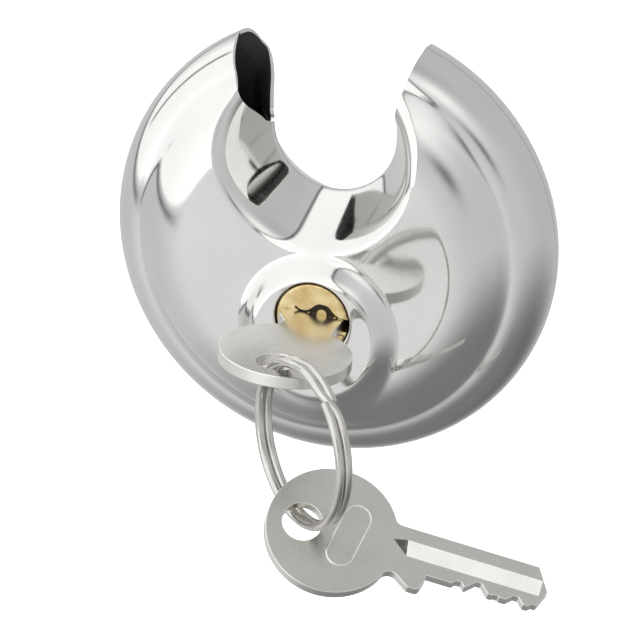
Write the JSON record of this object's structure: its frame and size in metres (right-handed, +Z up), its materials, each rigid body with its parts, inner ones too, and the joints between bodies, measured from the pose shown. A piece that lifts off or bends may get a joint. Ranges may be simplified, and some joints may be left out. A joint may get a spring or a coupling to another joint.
{
  "type": "disc padlock",
  "caption": "Round shrouded padlock with a curved sliding shackle, a brass key cylinder, and keys on a split ring.",
  "frame": {"origin": "centre of the disc, where the axis that the shackle turns about meets the welded seam's plane", "axes": "+X right and +Z up as seen from the keyhole side, the throat at the top; +Y out of the back, so the keyhole faces -Y"},
  "size_m": [0.0776, 0.065, 0.0773],
  "materials": {
    "polished_stainless": "mirror-polished stamped stainless steel",
    "polished_steel": "polished hardened steel",
    "sheet_steel": "plain rolled steel",
    "hardened_steel": "hardened and tempered steel, lightly oiled",
    "spring_steel": "drawn spring wire and strip",
    "brass_body": "turned brass",
    "plug_brass": "faced and polished brass",
    "nickel_silver": "satin nickel-plated brass",
    "ring_nickel": "bright nickel-plated spring wire"
  },
  "bodies": {
    "case": {"front_shell": "polished_stainless", "rear_shell": "polished_stainless", "front_guide": "sheet_steel", "rear_guide": "sheet_steel", "shackle_stop": "sheet_steel", "cylinder_housing": "brass_body", "drill_guard": "hardened_steel", "weld_studs": "sheet_steel", "stud_nuts": "sheet_steel", "driver_pins": "hardened_steel", "pin_springs": "spring_steel", "chamber_plugs": "brass_body"},
    "plug_and_key": {"plug": "plug_brass", "plug_clip": "spring_steel", "key_pins": "plug_brass", "drive_cam": "hardened_steel", "drive_pin": "hardened_steel", "drive_roller": "hardened_steel", "cam_screw": "hardened_steel", "working_key": "nickel_silver"},
    "shackle_bar": {"shackle": "polished_steel", "shackle_lug": "hardened_steel", "lug_rivets": "hardened_steel"},
    "ring": {"key_ring": "ring_nickel"},
    "spare": {"spare_key": "nickel_silver"}
  },
  "joints": [
    {"name": "shackle_swing", "type": "hinge", "parent": "case", "child": "shackle_bar", "pos_m": [0, 0, 0], "axis": [0, -1, 0], "range_deg": [0, 72]},
    {"name": "plug_turn", "type": "hinge", "parent": "case", "child": "plug_and_key", "pos_m": [0, 0, -0.009], "axis": [0, -1, 0], "range_deg": [0, 144]},
    {"name": "ring_swing", "type": "hinge", "parent": "plug_and_key", "child": "ring", "pos_m": [0.00069, -0.03475, -0.00909], "axis": [0.7266, -0.6871, 0], "range_deg": [-16, 12]},
    {"name": "spare_swing", "type": "hinge", "parent": "ring", "child": "spare", "pos_m": [0.00614, -0.04104, -0.03186], "axis": [-0.3747, 0.6155, -0.6934], "range_deg": [-10, 70]}
  ],
  "couplings": [
    {"joint": "plug_turn", "follows": "shackle_swing", "ratio": 2}
  ]
}
